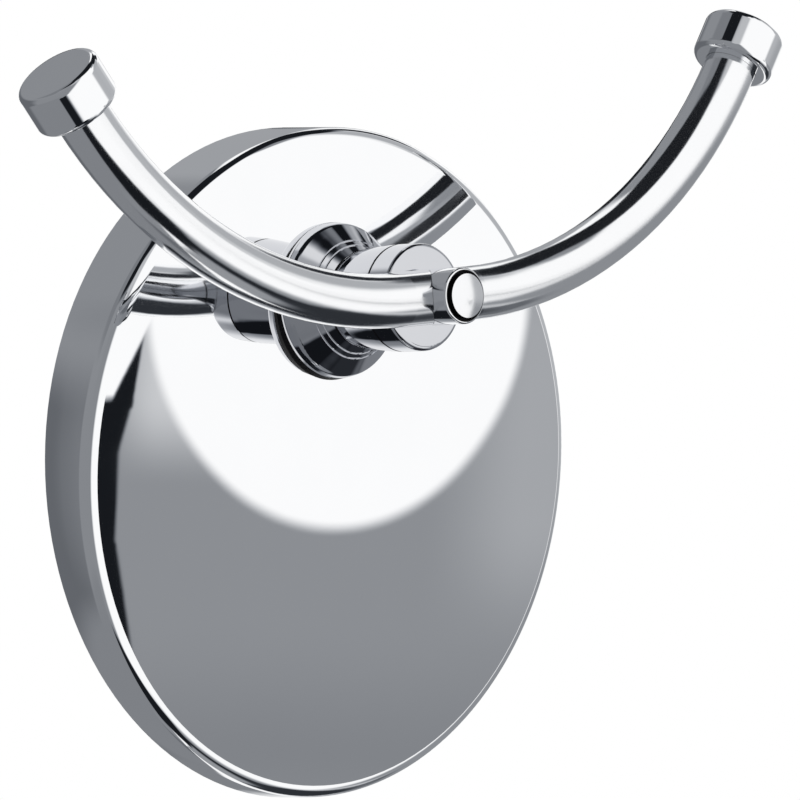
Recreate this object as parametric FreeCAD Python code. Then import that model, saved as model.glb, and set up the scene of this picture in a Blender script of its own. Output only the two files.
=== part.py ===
import FreeCAD, Part
import math
import os

# Double robe hook: a round cover on the wall, a turned post and a bent rod with two raised arms.
# Millimetres. +Z is up, -Y points out from the wall, X runs along the arms.
# The origin is on the wall, at the middle of the round cover.

os.makedirs("parts", exist_ok=True)
Vector = FreeCAD.Vector
outward = Vector(0, -1, 0)
wallward = Vector(0, 1, 0)
upward = Vector(0, 0, 1)
spare = 5.0

# round cover: its faintly domed face leans, so the rim is deepest at the top
cover_radius = 38.0
cover_draft = 0.5
cover_depth = 6.55
cover_dome = 0.3
face_lean = math.radians(3.93)
face_edge_round = 1.5
rim_wall = 2.0
face_wall = 1.4

# wall bracket inside the cover, with a gap to the cover's rim
bracket_gap = 2.4
bracket_radius = cover_radius - rim_wall - bracket_gap
bracket_sheet = 1.5
bracket_depth = 2.5
bracket_rim_wall = 1.3
bracket_flat = 0.4
bracket_clearance = 0.05
wall_hole_radius = 2.25
wall_hole_spacing = 40.0
pad_angles = (50.0, 130.0)
pad_half_angle = 5.0

# grub screw that locks the cover on the bracket
grub_radius = 1.25
grub_from_wall = 1.55
grub_sunk = 0.3
grub_boss_radius = 3.0
grub_boss_gap = 1.4
grub_socket_radius = 0.75
grub_socket_depth = 1.0
thread_clearance = 0.03

# post: a flange with a turned line and a sloping front, a foot ring, then a swelling barrel
post_below_top = 19.76
post_height = cover_radius - post_below_top
flange_radius = 8.6
flange_shoulder = 9.75
flange_draft = math.radians(9.0)
flange_shoulder_round = 0.8
flange_slope = math.radians(48.8)
flange_line_depth = 0.25
flange_line_half_width = 0.16
flange_line = 8.7
slope_line_radii = (6.62, 6.08)
slope_line_depth = 0.13
slope_line_half_width = 0.09
neck_radius = 5.2
neck_length = 0.35
barrel_start_radius = 5.55
barrel_start_round = 0.25
barrel_middle = 16.2
barrel_middle_radius = 5.82
barrel_radius = 6.0
seam_from_wall = 19.2
seam_chamfer = 0.16

# screw and spring washer that hold the post from behind the cover
post_seat = 5.2
post_boss_radius = 6.5
post_screw_radius = 2.5
post_screw_thread = 6.4
post_screw_hole_clearance = 0.2
post_screw_head_radius = 4.4
post_screw_head = 2.2
post_screw_socket_radius = 1.7
post_screw_socket_depth = 1.3
washer_sheet = 0.8
washer_radius = 4.5
washer_slit = 0.6

# saddle, the front end of the barrel
saddle_front = 22.6
saddle_edge_round = 0.55

# bent rod and its arms
rod_radius = 3.03
rod_from_wall = 24.0
rod_straight_half = 5.4
rod_bend_radius = 56.4
arm_angle = math.radians(53.9)
rod_fit = 0.03

# end caps
cap_radius = 4.75
cap_length = 5.2
cap_floor = 1.3
cap_edge_round = 0.8

# clamp collar and pin on the front of the rod
collar_radius = 3.15
collar_wall = 1.87
collar_edge_round = 0.3
collar_recess = 0.5
pin_radius = 1.5
pin_clearance = 0.04
pin_tip = 15.9
pin_bore_end = 15.4
pin_head_radius = 2.45
pin_head_clearance = 0.3
pin_head_side = 0.9
pin_dome = 0.45


def bar(radius, start, end, x=0.0, z=0.0):
    """Round bar standing out from the wall, between two distances from the wall."""
    return Part.makeCylinder(radius, end - start, Vector(x, -start, z), outward)


def upright(radius, bottom, top, x=0.0, y=0.0):
    return Part.makeCylinder(radius, top - bottom, Vector(x, y, bottom), upward)


def turned(outline):
    """Solid of revolution about the post's axis from (radius, distance from the wall) edges."""
    face = Part.Face(Part.Wire(outline))
    solid = face.revolve(Vector(0, 0, post_height), wallward, 360)
    return Part.Solid(solid.Shells[0]) if solid.ShapeType != "Solid" else solid


def at(radius, distance):
    return Vector(radius, -distance, post_height)


def polyline(points):
    return [Part.makeLine(at(*a), at(*b)) for a, b in zip(points, points[1:])]


def arc(first, middle, last):
    return Part.Arc(at(*first), at(*middle), at(*last)).toShape()


def dome_radius():
    return (cover_radius ** 2 + cover_dome ** 2) / (2 * cover_dome)


def dome_centre():
    """Centre of the large sphere that the leaning face is a part of."""
    back = dome_radius() - cover_dome
    return Vector(0, back * math.cos(face_lean) - cover_depth, back * math.sin(face_lean))


def depth_at(z):
    """Distance from the wall to the cover's leaning face, above the middle at height z."""
    centre = dome_centre()
    return math.sqrt(dome_radius() ** 2 - (z - centre.z) ** 2) - centre.y


def behind_face(set_back=0.0):
    """Everything on the wall side of the leaning face, or of a skin set back from it."""
    return Part.makeSphere(dome_radius() - set_back, dome_centre())


def cover_block():
    reach = depth_at(cover_radius) + spare
    narrow = cover_radius - cover_draft
    cone = Part.makeCone(cover_radius, narrow, reach, Vector(0, 0, 0), outward)
    block = cone.common(behind_face())
    edge = max(block.Edges, key=lambda e: -e.CenterOfMass.y)
    return block.makeFillet(face_edge_round, [edge])


def cover_cavity():
    reach = depth_at(cover_radius) + spare
    return bar(cover_radius - rim_wall, 0, reach).common(behind_face(face_wall))


def support_pads():
    """Two pads under the top of the cover that rest on the bracket's rim."""
    inner = bracket_radius + bracket_clearance
    outer = cover_radius - rim_wall / 2
    start = bracket_clearance
    depth = depth_at(outer)
    pads = []
    for angle in pad_angles:
        sector = Part.makeCylinder(outer, depth, Vector(0, 0, 0), upward, 2 * pad_half_angle)
        sector = sector.cut(Part.makeCylinder(inner, depth))
        sector.rotate(Vector(0, 0, 0), Vector(1, 0, 0), 90)
        sector.translate(Vector(0, -start, 0))
        sector.rotate(Vector(0, 0, 0), outward, angle - pad_half_angle)
        pads.append(sector.common(behind_face(face_wall / 2)))
    return pads


def grub_hole_top():
    return bracket_flat - bracket_radius


def make_backplate():
    block = cover_block()
    shell = block.cut(cover_cavity())
    inside = behind_face(face_wall / 2)
    post_boss = bar(post_boss_radius, post_seat, depth_at(post_height), 0, post_height)
    boss_bottom = rim_wall / 2 - cover_radius
    boss_top = grub_hole_top() - grub_boss_gap
    grub_boss = upright(grub_boss_radius, boss_bottom, boss_top, 0, -grub_from_wall)
    wall_side = bar(cover_radius, bracket_clearance, depth_at(cover_radius))
    additions = [post_boss.common(inside), grub_boss.common(inside).common(wall_side)]
    shell = shell.fuse(additions + support_pads()).removeSplitter()
    hole = post_screw_radius + post_screw_hole_clearance
    shell = shell.cut(bar(hole, 0, depth_at(cover_radius), 0, post_height))
    grub_hole = grub_radius + thread_clearance
    bottom = -cover_radius - spare
    return shell.cut(upright(grub_hole, bottom, grub_hole_top(), 0, -grub_from_wall))


def make_wall_bracket():
    dish = bar(bracket_radius, 0, bracket_depth)
    dish = dish.cut(bar(bracket_radius - bracket_rim_wall, bracket_sheet, bracket_depth))
    size = 2 * bracket_radius
    below = Part.makeBox(size, size, size, Vector(-bracket_radius, -bracket_radius, 0))
    below.translate(Vector(0, 0, grub_hole_top() - size))
    dish = dish.cut(below)
    for side in (-1, 1):
        x = side * wall_hole_spacing / 2
        dish = dish.cut(bar(wall_hole_radius, 0, bracket_sheet, x))
    return dish


def hexagon(radius):
    corners = [math.radians(60 * k) for k in range(7)]
    return [Vector(radius * math.cos(a), radius * math.sin(a), 0) for a in corners]


def socket(radius, depth):
    return Part.Face(Part.makePolygon(hexagon(radius))).extrude(Vector(0, 0, depth))


def make_set_screw():
    bottom = grub_sunk - cover_radius
    screw = upright(grub_radius, bottom, grub_hole_top(), 0, -grub_from_wall)
    recess = socket(grub_socket_radius, grub_socket_depth)
    recess.translate(Vector(0, -grub_from_wall, bottom))
    return screw.cut(recess)


def rounded(before, corner, after, radius):
    """Start, middle and end of the round that takes the place of a corner in an outline."""
    reaches = []
    for point in (before, after):
        length = math.dist(point, corner)
        reaches.append(((point[0] - corner[0]) / length, (point[1] - corner[1]) / length))
    first, last = reaches
    half = math.acos(first[0] * last[0] + first[1] * last[1]) / 2
    reach = radius / math.tan(half)
    inward = (first[0] + last[0], first[1] + last[1])
    depth = (radius / math.sin(half) - radius) / math.hypot(*inward)
    start = (corner[0] + first[0] * reach, corner[1] + first[1] * reach)
    middle = (corner[0] + inward[0] * depth, corner[1] + inward[1] * depth)
    end = (corner[0] + last[0] * reach, corner[1] + last[1] * reach)
    return start, middle, end


def side_radius(distance):
    """Radius of the drafted side of the flange, at a distance from the wall."""
    return flange_radius + (flange_shoulder - distance) * math.tan(flange_draft)


def slope_distance(radius):
    """Distance from the wall to the flange's sloping front at a radius."""
    return flange_shoulder + (flange_radius - radius) / math.tan(flange_slope)


def flange_side():
    """Side of the flange from the cover to its shoulder, with its turned line."""
    start = depth_at(post_height - flange_radius) - spare / 2
    points = [(side_radius(start), start)]
    near = flange_line - flange_line_half_width
    far = flange_line + flange_line_half_width
    points.append((side_radius(near), near))
    points.append((side_radius(flange_line) - flange_line_depth, flange_line))
    points.append((side_radius(far), far))
    return points


def slope_lines():
    """Fine turned lines in the flange's sloping front."""
    points = []
    for radius in slope_line_radii:
        outer = radius + slope_line_half_width
        inner = radius - slope_line_half_width
        points.append((outer, slope_distance(outer)))
        points.append((radius, slope_distance(radius) - slope_line_depth))
        points.append((inner, slope_distance(inner)))
    return points


def make_post():
    side = flange_side()
    start = side[0][1]
    front = slope_lines()
    shoulder = rounded(side[-1], (flange_radius, flange_shoulder), front[0], flange_shoulder_round)
    neck = slope_distance(neck_radius)
    barrel_start = neck + neck_length
    neck_end = (neck_radius, barrel_start)
    seam_start = (barrel_radius, seam_from_wall - seam_chamfer)
    seam = (barrel_radius - seam_chamfer, seam_from_wall)
    edge = rounded(neck_end, (barrel_start_radius, barrel_start),
                   (barrel_start_radius, seam_from_wall), barrel_start_round)
    outline = polyline([(0, start)] + side + [shoulder[0]])
    outline.append(arc(*shoulder))
    outline += polyline([shoulder[-1]] + front + [(neck_radius, neck), neck_end, edge[0]])
    outline.append(arc(*edge))
    outline.append(arc(edge[-1], (barrel_middle_radius, barrel_middle), seam_start))
    outline += polyline([seam_start, seam, (0, seam_from_wall), (0, start)])
    post = turned(outline).cut(behind_face())
    screw_bore = post_screw_radius + thread_clearance
    thread_end = depth_at(post_height) + post_screw_thread
    post = post.cut(bar(screw_bore, 0, thread_end + thread_clearance, 0, post_height))
    return post.cut(bar(pin_radius + thread_clearance, pin_bore_end, seam_from_wall, 0, post_height))


def make_post_washer():
    end = post_seat
    washer = bar(washer_radius, end - washer_sheet, end, 0, post_height)
    hole = post_screw_radius + post_screw_hole_clearance
    washer = washer.cut(bar(hole, end - washer_sheet, end, 0, post_height))
    corner = Vector(-washer_slit / 2, -end, post_height)
    return washer.cut(Part.makeBox(washer_slit, washer_sheet, washer_radius + spare, corner))


def make_post_screw():
    seat = post_seat - washer_sheet
    tip = depth_at(post_height) + post_screw_thread
    back = seat - post_screw_head
    screw = bar(post_screw_head_radius, back, seat, 0, post_height)
    screw = screw.fuse(bar(post_screw_radius, seat, tip, 0, post_height)).removeSplitter()
    recess = socket(post_screw_socket_radius, post_screw_socket_depth)
    recess.rotate(Vector(0, 0, 0), Vector(1, 0, 0), 90)
    recess.translate(Vector(0, -back, post_height))
    return screw.cut(recess)


def rod_line(half_straight):
    """Straight middle of the rod along X, at the given half length."""
    start = Vector(-half_straight, -rod_from_wall, post_height)
    end = Vector(half_straight, -rod_from_wall, post_height)
    return start, end


def rod_envelope(radius):
    start, end = rod_line(2 * barrel_radius)
    return Part.makeCylinder(radius, (end - start).Length, start, Vector(1, 0, 0))


def arm_point(side, angle):
    x = side * (rod_straight_half + rod_bend_radius * math.sin(angle))
    z = post_height + rod_bend_radius * (1 - math.cos(angle))
    return Vector(x, -rod_from_wall, z)


def arm_direction(side):
    return Vector(side * math.cos(arm_angle), 0, math.sin(arm_angle))


def make_rod():
    start, end = rod_line(rod_straight_half)
    tail = cap_length - cap_floor - rod_fit
    ends = [arm_point(side, arm_angle) for side in (-1, 1)]
    tips = [p + arm_direction(side) * tail for p, side in zip(ends, (-1, 1))]
    halves = [arm_point(side, arm_angle / 2) for side in (-1, 1)]
    edges = [Part.makeLine(tips[0], ends[0])]
    edges.append(Part.Arc(ends[0], halves[0], start).toShape())
    edges.append(Part.makeLine(start, end))
    edges.append(Part.Arc(end, halves[1], ends[1]).toShape())
    edges.append(Part.makeLine(ends[1], tips[1]))
    circle = Part.makeCircle(rod_radius, tips[0], arm_direction(-1))
    rod = Part.Wire(edges).makePipeShell([Part.Wire(circle)], True, True)
    hole = pin_radius + pin_clearance
    return rod.cut(bar(hole, rod_from_wall - spare, rod_from_wall + spare, 0, post_height))


def make_cap(side):
    direction = arm_direction(side)
    base = arm_point(side, arm_angle)
    cap = Part.makeCylinder(cap_radius, cap_length, base, direction)
    rims = [e for e in cap.Edges if len(e.Vertexes) == 1 and e.Curve.TypeId == "Part::GeomCircle"]
    cap = cap.makeFillet(cap_edge_round, rims)
    return cap.cut(Part.makeCylinder(rod_radius + rod_fit, cap_length - cap_floor, base, direction))


def make_saddle():
    inner = barrel_radius - seam_chamfer
    outline = polyline([
        (0, seam_from_wall),
        (inner, seam_from_wall),
        (barrel_radius, seam_from_wall + seam_chamfer),
        (barrel_radius, saddle_front - saddle_edge_round)])
    middle = saddle_edge_round * (1 - math.sqrt(0.5))
    round_end = (barrel_radius - saddle_edge_round, saddle_front)
    round_middle = (barrel_radius - middle, saddle_front - middle)
    outline.append(arc((barrel_radius, saddle_front - saddle_edge_round), round_middle, round_end))
    outline += polyline([round_end, (0, saddle_front), (0, seam_from_wall)])
    saddle = turned(outline).cut(rod_envelope(rod_radius + rod_fit))
    return saddle.cut(bar(pin_radius + pin_clearance, seam_from_wall, saddle_front, 0, post_height))


def collar_front():
    return rod_from_wall + rod_radius + collar_wall


def make_collar():
    front = collar_front()
    collar = bar(collar_radius, rod_from_wall, front, 0, post_height)
    rim = max(collar.Edges, key=lambda e: -e.CenterOfMass.y)
    collar = collar.makeFillet(collar_edge_round, [rim])
    collar = collar.cut(rod_envelope(rod_radius + rod_fit))
    recess = pin_head_radius + pin_head_clearance
    seat = front - collar_recess
    collar = collar.cut(bar(recess, seat, front, 0, post_height))
    return collar.cut(bar(pin_radius + pin_clearance, rod_from_wall, seat, 0, post_height))


def make_pin():
    seat = collar_front() - collar_recess
    edge = seat + pin_head_side
    top = edge + pin_dome
    outline = polyline([
        (0, pin_tip),
        (pin_radius, pin_tip),
        (pin_radius, seat),
        (pin_head_radius, seat),
        (pin_head_radius, edge)])
    dome_radius = (pin_head_radius ** 2 + pin_dome ** 2) / (2 * pin_dome)
    half = pin_head_radius / 2
    middle = top - dome_radius + math.sqrt(dome_radius ** 2 - half ** 2)
    outline.append(arc((pin_head_radius, edge), (half, middle), (0, top)))
    outline += polyline([(0, top), (0, pin_tip)])
    return turned(outline)


pieces = {
    "backplate": make_backplate(),
    "wall_bracket": make_wall_bracket(),
    "set_screw": make_set_screw(),
    "post": make_post(),
    "post_washer": make_post_washer(),
    "post_screw": make_post_screw(),
    "saddle": make_saddle(),
    "rod": make_rod(),
    "clamp_collar": make_collar(),
    "pin": make_pin(),
    "cap_left": make_cap(-1),
    "cap_right": make_cap(1),
}

for name, shape in pieces.items():
    shape.exportStep("parts/" + name + ".step")
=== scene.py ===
import math
import bpy
import bmesh
import numpy as np
from mathutils import Matrix, Vector


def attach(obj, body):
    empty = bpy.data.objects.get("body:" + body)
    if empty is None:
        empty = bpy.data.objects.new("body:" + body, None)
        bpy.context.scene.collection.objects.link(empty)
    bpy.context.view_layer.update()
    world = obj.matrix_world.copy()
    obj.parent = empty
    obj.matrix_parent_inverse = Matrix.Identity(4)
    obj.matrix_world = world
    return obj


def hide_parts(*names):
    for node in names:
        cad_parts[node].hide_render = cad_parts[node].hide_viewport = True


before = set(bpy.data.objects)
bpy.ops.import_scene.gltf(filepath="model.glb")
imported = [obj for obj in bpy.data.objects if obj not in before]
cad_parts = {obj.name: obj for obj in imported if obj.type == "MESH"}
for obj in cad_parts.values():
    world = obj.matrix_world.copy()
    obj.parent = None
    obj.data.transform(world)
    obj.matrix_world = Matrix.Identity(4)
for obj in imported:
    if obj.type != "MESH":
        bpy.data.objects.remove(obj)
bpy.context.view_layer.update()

scene = bpy.context.scene
scene.view_settings.view_transform = "Standard"

# camera: long lens from the left, a little above, rolled slightly
shot = {"azimuth": -44.65, "elevation": 2.63, "roll": 3.82, "distance": 0.798, "lens": 316.6,
        "sensor": 36, "nearest": 0.05, "farthest": 20, "right": -0.01192, "up": -0.00708}
azimuth, elevation, roll = [math.radians(shot[k]) for k in ("azimuth", "elevation", "roll")]
back = Vector((math.sin(azimuth) * math.cos(elevation), -math.cos(azimuth) * math.cos(elevation),
               math.sin(elevation)))
level = Vector((math.cos(azimuth), math.sin(azimuth), 0))
above = back.cross(level)
right = math.cos(roll) * level - math.sin(roll) * above
up = math.sin(roll) * level + math.cos(roll) * above
camData = bpy.data.cameras.new("shotCamera")
camData.lens = shot["lens"]
camData.sensor_width = shot["sensor"]
camData.clip_start = shot["nearest"]
camData.clip_end = shot["farthest"]
camera = bpy.data.objects.new("shotCamera", camData)
scene.collection.objects.link(camera)
place = -shot["right"] * right - shot["up"] * up + shot["distance"] * back
turn = Matrix((right, up, back)).transposed()
camera.matrix_world = Matrix.Translation(place) @ turn.to_4x4()
scene.camera = camera


def newMaterial(name):
    mat = bpy.data.materials.new(name)
    mat.use_nodes = True
    mat.node_tree.nodes.clear()
    return mat


def addNode(tree, kind, **values):
    node = tree.nodes.new(kind)
    for key, value in values.items():
        setattr(node, key, value)
    return node


def link(tree, a, b):
    tree.links.new(a, b)


# polish: long faint rub marks and a patchy dull film, both at real scale
polishing = {"rubStretch": (0.25, 1.0, 1.0), "rubDetail": 4, "filmScale": 120, "filmDetail": 3,
             "filmFrom": 0.35, "filmTo": 0.75, "filmRough": 0.03, "filmShade": 0.08,
             "filmColour": (0.6, 0.62, 0.66), "bumpDepth": 0.00001}


def makePolishGroup():
    group = bpy.data.node_groups.new("polishedPlate", "ShaderNodeTree")
    face = group.interface
    face.new_socket("Position", in_out="INPUT", socket_type="NodeSocketVector")
    for name in ("Rub scale", "Film", "Base roughness"):
        face.new_socket(name, in_out="INPUT", socket_type="NodeSocketFloat")
    face.new_socket("Tint", in_out="INPUT", socket_type="NodeSocketColor")
    face.new_socket("Colour", in_out="OUTPUT", socket_type="NodeSocketColor")
    face.new_socket("Roughness", in_out="OUTPUT", socket_type="NodeSocketFloat")
    face.new_socket("Height", in_out="OUTPUT", socket_type="NodeSocketFloat")
    inp = addNode(group, "NodeGroupInput")
    out = addNode(group, "NodeGroupOutput")
    rub = addNode(group, "ShaderNodeTexNoise", noise_dimensions="3D")
    rub.inputs["Detail"].default_value = polishing["rubDetail"]
    stretch = addNode(group, "ShaderNodeVectorMath", operation="MULTIPLY")
    stretch.inputs[1].default_value = polishing["rubStretch"]
    link(group, inp.outputs["Position"], stretch.inputs[0])
    link(group, stretch.outputs[0], rub.inputs["Vector"])
    link(group, inp.outputs["Rub scale"], rub.inputs["Scale"])
    film = addNode(group, "ShaderNodeTexNoise", noise_dimensions="3D")
    film.inputs["Scale"].default_value = polishing["filmScale"]
    film.inputs["Detail"].default_value = polishing["filmDetail"]
    link(group, inp.outputs["Position"], film.inputs["Vector"])
    filmRange = addNode(group, "ShaderNodeMapRange")
    filmRange.inputs["From Min"].default_value = polishing["filmFrom"]
    filmRange.inputs["From Max"].default_value = polishing["filmTo"]
    link(group, film.outputs["Fac"], filmRange.inputs["Value"])
    filmAmount = addNode(group, "ShaderNodeMath", operation="MULTIPLY")
    link(group, filmRange.outputs["Result"], filmAmount.inputs[0])
    link(group, inp.outputs["Film"], filmAmount.inputs[1])
    rough = addNode(group, "ShaderNodeMath", operation="MULTIPLY_ADD")
    rough.inputs[1].default_value = polishing["filmRough"]
    link(group, filmAmount.outputs[0], rough.inputs[0])
    link(group, inp.outputs["Base roughness"], rough.inputs[2])
    link(group, rough.outputs[0], out.inputs["Roughness"])
    darker = addNode(group, "ShaderNodeMix", data_type="RGBA", blend_type="MULTIPLY")
    shade = addNode(group, "ShaderNodeMath", operation="MULTIPLY")
    shade.inputs[1].default_value = polishing["filmShade"]
    link(group, filmAmount.outputs[0], shade.inputs[0])
    link(group, shade.outputs[0], darker.inputs["Factor"])
    link(group, inp.outputs["Tint"], darker.inputs["A"])
    darker.inputs["B"].default_value = (*polishing["filmColour"], 1)
    link(group, darker.outputs["Result"], out.inputs["Colour"])
    link(group, rub.outputs["Fac"], out.inputs["Height"])
    return group


polishGroup = makePolishGroup()


def mathNode(tree, operation, *values):
    node = addNode(tree, "ShaderNodeMath", operation=operation)
    for socket, value in zip(node.inputs, values):
        if isinstance(value, (int, float)):
            socket.default_value = value
        else:
            link(tree, value, socket)
    return node.outputs[0]


def ramp(tree, value, start, end, low=0.0, high=1.0):
    node = addNode(tree, "ShaderNodeMapRange", interpolation_type="SMOOTHSTEP")
    for name, number in (("From Min", start), ("From Max", end), ("To Min", low), ("To Max", high)):
        node.inputs[name].default_value = number
    link(tree, value, node.inputs["Value"])
    return node.outputs["Result"]


def over(tree, below, mask, top):
    # below + mask * (top - below)
    return mathNode(tree, "MULTIPLY_ADD", mask, mathNode(tree, "SUBTRACT", top, below), below)


# painted shade ring, dark and dull, standing in for the shade in a gap or recess: 1 between two radii round
# an axis that stands out from the wall, and between two distances from the wall
paintedShadeLook = {"colour": (0.02, 0.02, 0.022), "rough": 0.6}
shadeRingSockets = ("Height", "Inner", "Outer", "Front", "Behind")


def makeShadeRingGroup():
    group = bpy.data.node_groups.new("paintedShadeRing", "ShaderNodeTree")
    face = group.interface
    face.new_socket("Position", in_out="INPUT", socket_type="NodeSocketVector")
    for name in shadeRingSockets:
        face.new_socket(name, in_out="INPUT", socket_type="NodeSocketFloat")
    face.new_socket("Mask", in_out="OUTPUT", socket_type="NodeSocketFloat")
    inp = addNode(group, "NodeGroupInput")
    out = addNode(group, "NodeGroupOutput")
    parts = addNode(group, "ShaderNodeSeparateXYZ")
    link(group, inp.outputs["Position"], parts.inputs[0])
    upward = mathNode(group, "SUBTRACT", parts.outputs["Z"], inp.outputs["Height"])
    squares = [mathNode(group, "POWER", value, 2.0) for value in (parts.outputs["X"], upward)]
    radius = mathNode(group, "SQRT", mathNode(group, "ADD", *squares))
    distance = mathNode(group, "MULTIPLY", parts.outputs["Y"], -1.0)
    mask = mathNode(group, "GREATER_THAN", radius, inp.outputs["Inner"])
    for value, test, limit in ((radius, "LESS_THAN", "Outer"), (distance, "LESS_THAN", "Front"),
                               (distance, "GREATER_THAN", "Behind")):
        mask = mathNode(group, "MULTIPLY", mask, mathNode(group, test, value, inp.outputs[limit]))
    link(group, mask, out.inputs["Mask"])
    return group


shadeRingGroup = makeShadeRingGroup()


def chromeMaterial(name, look):
    mat = newMaterial(name)
    tree = mat.node_tree
    coords = addNode(tree, "ShaderNodeTexCoord")
    polish = addNode(tree, "ShaderNodeGroup")
    polish.node_tree = polishGroup
    polish.inputs["Rub scale"].default_value = look["rub"]
    polish.inputs["Film"].default_value = look["film"]
    polish.inputs["Base roughness"].default_value = look["rough"]
    polish.inputs["Tint"].default_value = (*look["tint"], 1)
    link(tree, coords.outputs["Object"], polish.inputs["Position"])
    bump = addNode(tree, "ShaderNodeBump")
    bump.inputs["Strength"].default_value = look["bump"]
    bump.inputs["Distance"].default_value = polishing["bumpDepth"]
    link(tree, polish.outputs["Height"], bump.inputs["Height"])
    colour, rough = polish.outputs["Colour"], polish.outputs["Roughness"]
    worn = look.get("worn")
    if worn:        # duller along the side that faces one way, where robes rub
        facing = addNode(tree, "ShaderNodeVectorMath", operation="DOT_PRODUCT")
        link(tree, coords.outputs["Normal"], facing.inputs[0])
        facing.inputs[1].default_value = worn["towards"]
        rubbed = ramp(tree, facing.outputs["Value"], worn["from"], worn["to"])
        rough = over(tree, rough, rubbed, worn["rough"])
    # painted shade: each ring darkens the colour and dulls the chrome where a gap or recess would lie in
    # shade
    for shadeRing in look.get("paintedShadeRings", []):
        shade = addNode(tree, "ShaderNodeGroup")
        shade.node_tree = shadeRingGroup
        for socket in shadeRingSockets:
            shade.inputs[socket].default_value = shadeRing[socket.lower()]
        link(tree, coords.outputs["Object"], shade.inputs["Position"])
        darker = addNode(tree, "ShaderNodeMix", data_type="RGBA")
        link(tree, shade.outputs["Mask"], darker.inputs["Factor"])
        link(tree, colour, darker.inputs["A"])
        darker.inputs["B"].default_value = (*paintedShadeLook["colour"], 1)
        colour = darker.outputs["Result"]
        rough = over(tree, rough, shade.outputs["Mask"], paintedShadeLook["rough"])
    shader = addNode(tree, "ShaderNodeBsdfPrincipled")
    shader.inputs["Metallic"].default_value = 1
    link(tree, colour, shader.inputs["Base Color"])
    link(tree, rough, shader.inputs["Roughness"])
    link(tree, bump.outputs["Normal"], shader.inputs["Normal"])
    out = addNode(tree, "ShaderNodeOutputMaterial")
    link(tree, shader.outputs[0], out.inputs["Surface"])
    return mat


# finishes: polished chrome on what shows, dull zinc on the hidden fixings; collar, pin and post carry
# painted shade rings a painted shade ring darkens a gap or recess; it is the height of the post's axis, two
# radii and two distances from the wall
postHeight = 0.01824
# painted shade round the pin's head, in the post's seam, at its neck and at its foot by the cover
pinShadeRing = {"height": postHeight, "inner": 0.00243, "outer": 0.00290, "front": 0.02928, "behind": 0.0270}
seamShadeRing = {"height": postHeight, "inner": 0.00585, "outer": 0.00597, "front": 0.01935, "behind": 0.01905}
footShadeRing = {"height": postHeight, "inner": 0.00860, "outer": 0.00940, "front": 0.00853, "behind": 0.0070}
neckShadeRing = {"height": postHeight, "inner": 0.0050, "outer": 0.00540, "front": 0.01312, "behind": 0.01262}
chrome = {"rub": 900, "film": 0.5, "rough": 0.012, "tint": (0.965, 0.97, 0.98), "bump": 0.03}
coverChrome = {"rub": 900, "film": 0.25, "rough": 0.006, "tint": (0.965, 0.97, 0.98), "bump": 0.004}
collarChrome = {**chrome, "paintedShadeRings": [pinShadeRing]}
pinChrome = {**collarChrome, "rough": 0.2}
rodWorn = {"towards": (-0.005, -0.996, -0.087), "from": 0.978, "to": 0.996, "rough": 0.22}
rodChrome = {**chrome, "rough": 0.1, "worn": rodWorn}
postChrome = {**chrome, "tint": (0.66, 0.67, 0.70), "paintedShadeRings": [seamShadeRing, neckShadeRing, footShadeRing]}
zinc = {"rub": 400, "film": 1.0, "rough": 0.28, "tint": (0.60, 0.61, 0.62), "bump": 0.4}
looks = {"backplate": coverChrome, "post": postChrome, "saddle": postChrome, "rod": rodChrome,
         "clamp_collar": collarChrome, "pin": pinChrome, "cap_left": chrome, "cap_right": chrome,
         "wall_bracket": zinc, "set_screw": zinc, "post_washer": zinc, "post_screw": zinc}
for name, look in looks.items():
    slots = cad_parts[name].data.materials
    finish = chromeMaterial(name + "Finish", look)
    for slotIndex in range(len(slots)):
        slots[slotIndex] = finish
print("finishes on", len(looks), "pieces")

# cover, in metres: the solid's own mesh with the true normals of its dome and rolled edge, so that its
# mirror runs smooth; its side's normals are true too, apart from the crown, a slight turn at the back
# near is how close a corner lies to a surface that it belongs to, agree the least cosine between normals
cover = {"radius": 0.038, "draft": 0.0005, "depth": 0.00655, "dome": 0.0003, "lean": math.radians(3.93),
         "edgeRound": 0.0015, "spare": 0.005, "crown": math.radians(8), "crownSpan": 0.0035,
         "crownFade": (0.008, 0.020), "weld": 1e-7, "near": 0.000004, "edgeNear": 0.000012,
         "edgeBand": 0.0018, "agree": 0.97, "pathStep": 0.0001}
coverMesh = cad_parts["backplate"].data.copy()
coverMesh.name = "coverSkin"
cadNormals = np.empty(len(coverMesh.loops) * 3, dtype=np.float32)
coverMesh.corner_normals.foreach_get("vector", cadNormals)
kept = coverMesh.attributes.new("cadNormal", "FLOAT_VECTOR", "CORNER")
kept.data.foreach_set("vector", cadNormals)
merged = bmesh.new()
merged.from_mesh(coverMesh)
bmesh.ops.remove_doubles(merged, verts=merged.verts, dist=cover["weld"])
merged.to_mesh(coverMesh)
merged.free()


def unitRows(rows):
    return rows / np.linalg.norm(rows, axis=1, keepdims=True)


def readCorners(mesh):
    count = len(mesh.loops)
    index = np.empty(count, dtype=np.int32)
    mesh.loops.foreach_get("vertex_index", index)
    points = np.empty(len(mesh.vertices) * 3, dtype=np.float32)
    mesh.vertices.foreach_get("co", points)
    normals = np.empty(count * 3, dtype=np.float32)
    mesh.attributes["cadNormal"].data.foreach_get("vector", normals)
    return points.reshape(-1, 3)[index].astype(float), normals.reshape(-1, 3).astype(float)


domeRadius = (cover["radius"] ** 2 + cover["dome"] ** 2) / (2 * cover["dome"])
domeBack = domeRadius - cover["dome"]
domeCentre = np.array([0, domeBack * math.cos(cover["lean"]) - cover["depth"],
                       domeBack * math.sin(cover["lean"])])
reach = math.sqrt(domeRadius ** 2 - (cover["radius"] - domeCentre[2]) ** 2) - domeCentre[1] + cover["spare"]
slope = cover["draft"] / reach
slant = math.hypot(1, slope)


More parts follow.
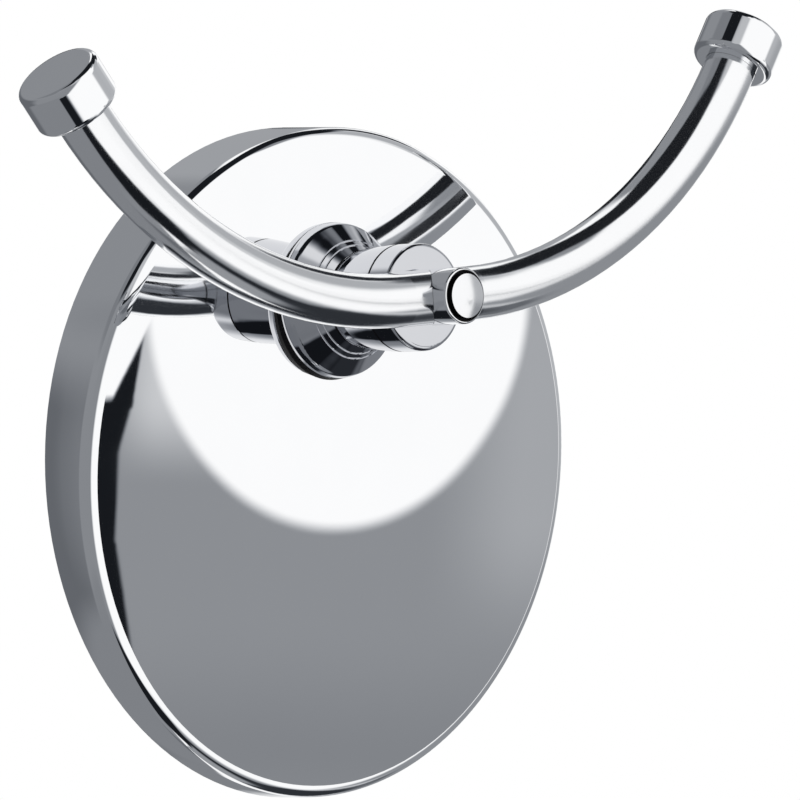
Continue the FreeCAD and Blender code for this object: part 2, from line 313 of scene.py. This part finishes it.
# centre of the ball that rolls inside the rim: on the side and the dome, both set back by its radius,
# at an angle round the cover; four Newton steps settle its distance from the wall
def ballCentre(angle):
    distance = np.full_like(angle, cover["depth"])
    for step in range(4):
        radius = cover["radius"] - slope * distance - cover["edgeRound"] * slant
        spot = np.stack([radius * np.cos(angle), -distance, radius * np.sin(angle)], axis=1)
        away = spot - domeCentre
        length = np.linalg.norm(away, axis=1)
        change = np.stack([-slope * np.cos(angle), -np.ones_like(angle), -slope * np.sin(angle)], axis=1)
        rate = np.sum(away * change, axis=1) / length
        distance = distance - (length - domeRadius + cover["edgeRound"]) / rate
    return spot


def rimNormals(points):
    angle = np.arctan2(points[:, 2], points[:, 0])
    step = cover["pathStep"]
    for slide in range(3):      # slides the ball along until the point is square to its path
        path = (ballCentre(angle + step) - ballCentre(angle - step)) / (2 * step)
        offset = points - ballCentre(angle)
        angle = angle + np.sum(offset * path, axis=1) / np.sum(path * path, axis=1)
    offset = points - ballCentre(angle)
    return unitRows(offset), np.abs(np.linalg.norm(offset, axis=1) - cover["edgeRound"])


points, normals = readCorners(coverMesh)
fromDome = points - domeCentre
radius = np.hypot(points[:, 0], points[:, 2])
coneRadius = cover["radius"] + slope * points[:, 1]
# crown: the side's normals turn a little towards the wall at its back edge, but not near the top
crown = np.clip(1 + points[:, 1] / cover["crownSpan"], 0, 1) * math.tan(cover["crown"])
crown *= 1 - np.interp(points[:, 2], cover["crownFade"], (0, 1))
sideNormals = unitRows(np.stack([points[:, 0] / radius, crown - slope, points[:, 2] / radius], axis=1))
domeNormals = unitRows(fromDome)
edgeNormals, edgeMiss = rimNormals(points)
onDome = np.abs(np.linalg.norm(fromDome, axis=1) - domeRadius) < cover["near"]
onSide = np.abs(radius - coneRadius) < cover["near"]
onEdge = (edgeMiss < cover["edgeNear"]) & (radius > cover["radius"] - cover["draft"] - cover["edgeBand"])
for found, true in ((onEdge, edgeNormals), (onDome, domeNormals), (onSide, sideNormals)):
    agree = found & (np.sum(normals * true, axis=1) > cover["agree"])
    normals[agree] = true[agree]
    print("cover corners set", int(agree.sum()), "of", int(found.sum()))
coverMesh.attributes.remove(coverMesh.attributes["cadNormal"])
coverMesh.normals_split_custom_set(normals.tolist())
coverSkin = bpy.data.objects.new("coverSkin", coverMesh)
scene.collection.objects.link(coverSkin)
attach(coverSkin, "root")
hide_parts("backplate")
print("cover skin has", len(coverMesh.polygons), "triangles")


# studio: white to the camera, plain light on the floor, and cards that the chrome shows
# turn is degrees from straight ahead of the wall towards +X, rise is degrees above level, and the two
# sides of a card that leans turn by that many degrees for each degree above its starting rise
# a later card covers an earlier one, and what lies past 180 degrees is given once from each side
studio = {
    "plain": 0.8,
    "front": 1.0,
    "cool": (1.03, 1.0, 0.95),
    "cards": [
        # greys behind the hook and to its left
        {"turn": (-200, -24), "rise": (-95, 95), "soft": 16, "level": 0.135},
        {"turn": (-134, -24), "rise": (-95, 95), "soft": 26, "level": 0.25},
        {"turn": (-200, -60), "rise": (22, 95), "soft": 16, "level": 0.26},
        {"turn": (-150, -95), "rise": (36, 95), "soft": 12, "level": 0.20},
        {"turn": (-200, -46), "rise": (-76, -30), "soft": 10, "level": 0.225},
        {"turn": (150, 200), "rise": (-95, 95), "soft": 6, "level": 0.135},
        {"turn": (150, 200), "rise": (22, 95), "soft": 16, "level": 0.26},
        {"turn": (150, 200), "rise": (-76, -30), "soft": 10, "level": 0.225},
        {"turn": (138, 154), "rise": (-40, -8), "soft": 5, "level": 0.22},
        # greys to its right, and one high in front of it
        {"turn": (128, 156), "rise": (2, 44), "soft": 8, "level": 0.35},
        {"turn": (54, 103), "rise": (-14, 14), "soft": 8, "level": 0.46},
        {"turn": (58, 92), "rise": (10, 44), "soft": 13, "level": 0.42},
        {"turn": (54, 132), "rise": (-38, -10), "soft": 9, "level": 0.27},
        {"turn": (-52, -19), "rise": (38, 57), "soft": 8, "level": 0.5},
        # dark cards to the right, overhead and behind, which the arms, caps and post show as bands
        {"turn": (94, 114), "rise": (24, 44), "soft": 6, "level": 0.02},
        {"turn": (76, 116), "rise": (-50, -36), "soft": 6, "level": 0.02},
        {"turn": (44, 70), "rise": (46, 62), "soft": 9, "level": 0.26},
        {"turn": (67, 129), "rise": (42, 95), "soft": 5, "level": 0.01},
        {"turn": (-60, 70), "rise": (58, 95), "soft": 5, "level": 0.01},
        {"turn": (-200, -60), "rise": (69, 95), "soft": 5, "level": 0.01},
        {"turn": (-101, -48), "rise": (51, 95), "soft": 5, "level": 0.01},
        {"turn": (125, 200), "rise": (69, 95), "soft": 5, "level": 0.01},
        {"turn": (140.4, 150), "rise": (-4, 31), "soft": 2.5, "level": 0.01,
         "lean": (0.43, 0.43), "from": 15},
        # grey and dark cards below
        {"turn": (8, 125), "rise": (-95, -40), "soft": 15, "level": 0.30},
        {"turn": (2, 125), "rise": (-66, -52), "soft": 9, "level": 0.02},
        {"turn": (50, 125), "rise": (-66, -42), "soft": 8, "level": 0.03},
        {"turn": (-46, 14), "rise": (-76, -43), "soft": 5, "level": 0.01},
        # what the cover's face shows: grey, darker below, lighter at both sides, and a black strip
        # with a white one beside its top
        {"turn": (41.0, 48.7), "rise": (-12.9, -6.6), "soft": 0.4, "level": 0.28},
        {"turn": (41.0, 48.7), "rise": (-12.9, -11.5), "soft": 1.8, "level": 0.235},
        {"turn": (46.9, 48.9), "rise": (-10.2, -6.4), "soft": 1.7, "level": 0.39},
        {"turn": (41.4, 43.2), "rise": (-8.5, -6.4), "soft": 1.1, "level": 0.60},
        {"turn": (40.7, 41.13), "rise": (-7.95, -6.5), "soft": 0.06, "level": 1.0,
         "lean": (0, 0.62), "from": -8},
        {"turn": (41.15, 41.49), "rise": (-8.1, -6.9), "soft": 0.06, "level": 0.01,
         "lean": (0.62, 0.17), "from": -8},
        {"turn": (40.7, 41.49), "rise": (-8.62, -8.0), "soft": 0.08, "level": 0.01,
         "lean": (0, 0.36), "from": -8},
        {"turn": (40.7, 41.27), "rise": (-9.8, -8.55), "soft": 0.08, "level": 0.01},
        {"turn": (40.7, 41.28), "rise": (-11.3, -9.7), "soft": 0.08, "level": 0.01,
         "lean": (0, -0.25), "from": -9.7},
    ],
    # white ellipse over all the cards, straight-sided above its middle and up to the rises in top
    "window": {"turn": 44.65, "rise": -6.6, "wide": 3.0, "high": 2.92, "soft": 0.07, "level": 1.0,
               "top": (40.0, 50.0)},
}

world = bpy.data.worlds.new("studio")
world.use_nodes = True
scene.world = world
tree = world.node_tree
tree.nodes.clear()
coords = addNode(tree, "ShaderNodeTexCoord")
unit = addNode(tree, "ShaderNodeVectorMath", operation="NORMALIZE")
link(tree, coords.outputs["Generated"], unit.inputs[0])
parts = addNode(tree, "ShaderNodeSeparateXYZ")
link(tree, unit.outputs[0], parts.inputs[0])
ahead = mathNode(tree, "MULTIPLY", parts.outputs["Y"], -1.0)
turned = mathNode(tree, "DEGREES", mathNode(tree, "ARCTAN2", parts.outputs["X"], ahead))
risen = mathNode(tree, "DEGREES", mathNode(tree, "ARCSINE", parts.outputs["Z"]))


def slab(tree, low, high, limits, soft):
    start, end = limits
    return mathNode(tree, "MULTIPLY", ramp(tree, low, start - soft / 2, start + soft / 2),
                    ramp(tree, high, end - soft / 2, end + soft / 2, 1.0, 0.0))


def leaned(tree, lean, start):
    if not lean:
        return turned
    climb = mathNode(tree, "SUBTRACT", risen, start)
    return mathNode(tree, "SUBTRACT", turned, mathNode(tree, "MULTIPLY", climb, lean))


shown = studio["front"]
for card in studio["cards"]:
    sides = [leaned(tree, lean, card.get("from", 0)) for lean in card.get("lean", (0, 0))]
    mask = mathNode(tree, "MULTIPLY", slab(tree, *sides, card["turn"], card["soft"]),
                    slab(tree, risen, risen, card["rise"], card["soft"]))
    shown = over(tree, shown, mask, card["level"])
window = studio["window"]
across = mathNode(tree, "DIVIDE", mathNode(tree, "SUBTRACT", turned, window["turn"]), window["wide"])
upward = mathNode(tree, "DIVIDE", mathNode(tree, "SUBTRACT", risen, window["rise"]), window["high"])
upward = mathNode(tree, "MINIMUM", upward, 0.0)       # round below, straight above
radius = mathNode(tree, "SQRT", mathNode(tree, "ADD", mathNode(tree, "MULTIPLY", across, across),
                                         mathNode(tree, "MULTIPLY", upward, upward)))
mask = ramp(tree, radius, 1 - window["soft"] / 2, 1 + window["soft"] / 2, 1.0, 0.0)
mask = mathNode(tree, "MULTIPLY", mask, ramp(tree, risen, *window["top"], 1.0, 0.0))
shown = over(tree, shown, mask, window["level"])
path = addNode(tree, "ShaderNodeLightPath")
mirrored = mathNode(tree, "MAXIMUM", path.outputs["Is Glossy Ray"], path.outputs["Is Transmission Ray"])
plain = addNode(tree, "ShaderNodeBackground")
plain.inputs["Color"].default_value = (1, 1, 1, 1)
link(tree, over(tree, studio["plain"], path.outputs["Is Camera Ray"], 1.0), plain.inputs["Strength"])
tinted = addNode(tree, "ShaderNodeCombineXYZ")      # white stays white, greys turn a little blue
for channel, power in enumerate(studio["cool"]):
    link(tree, mathNode(tree, "POWER", shown, power), tinted.inputs[channel])
mirror = addNode(tree, "ShaderNodeBackground")
link(tree, tinted.outputs[0], mirror.inputs["Color"])
sky = addNode(tree, "ShaderNodeMixShader")
link(tree, mirrored, sky.inputs[0])
link(tree, plain.outputs[0], sky.inputs[1])
link(tree, mirror.outputs[0], sky.inputs[2])
out = addNode(tree, "ShaderNodeOutputWorld")
link(tree, sky.outputs[0], out.inputs["Surface"])

# pale floor well below the hook, which keeps its shadow there and runs out to white further off
ground = {"height": -0.2, "half": 6.0, "colour": (0.93, 0.93, 0.93), "rough": 0.9,
          "white": 0.8, "near": 0.4, "far": 1.6}
h = ground["half"]
floorMesh = bpy.data.meshes.new("floor")
floorMesh.from_pydata([(-h, -h, 0), (h, -h, 0), (h, h, 0), (-h, h, 0)], [], [(0, 1, 2, 3)])
floor = bpy.data.objects.new("floor", floorMesh)
floor.location = (0, 0, ground["height"])
scene.collection.objects.link(floor)
floorMat = newMaterial("paleFloor")
tree = floorMat.node_tree
shader = addNode(tree, "ShaderNodeBsdfPrincipled")
shader.inputs["Base Color"].default_value = (*ground["colour"], 1)
shader.inputs["Roughness"].default_value = ground["rough"]
glow = addNode(tree, "ShaderNodeEmission")
glow.inputs["Strength"].default_value = 1.0
path = addNode(tree, "ShaderNodeLightPath")
seen = mathNode(tree, "MAXIMUM", path.outputs["Is Camera Ray"], path.outputs["Is Glossy Ray"])
seen = mathNode(tree, "MAXIMUM", seen, path.outputs["Is Transmission Ray"])
mix = addNode(tree, "ShaderNodeMixShader")
coords = addNode(tree, "ShaderNodeTexCoord")
away = addNode(tree, "ShaderNodeVectorMath", operation="LENGTH")
link(tree, coords.outputs["Object"], away.inputs[0])
whitened = ramp(tree, away.outputs["Value"], ground["near"], ground["far"], ground["white"], 1.0)
link(tree, mathNode(tree, "MULTIPLY", seen, whitened), mix.inputs[0])
link(tree, shader.outputs[0], mix.inputs[1])
link(tree, glow.outputs[0], mix.inputs[2])
out = addNode(tree, "ShaderNodeOutputMaterial")
link(tree, mix.outputs[0], out.inputs["Surface"])
floor.data.materials.append(floorMat)
floor.visible_glossy = False
print("studio ready,", len(studio["cards"]), "cards")
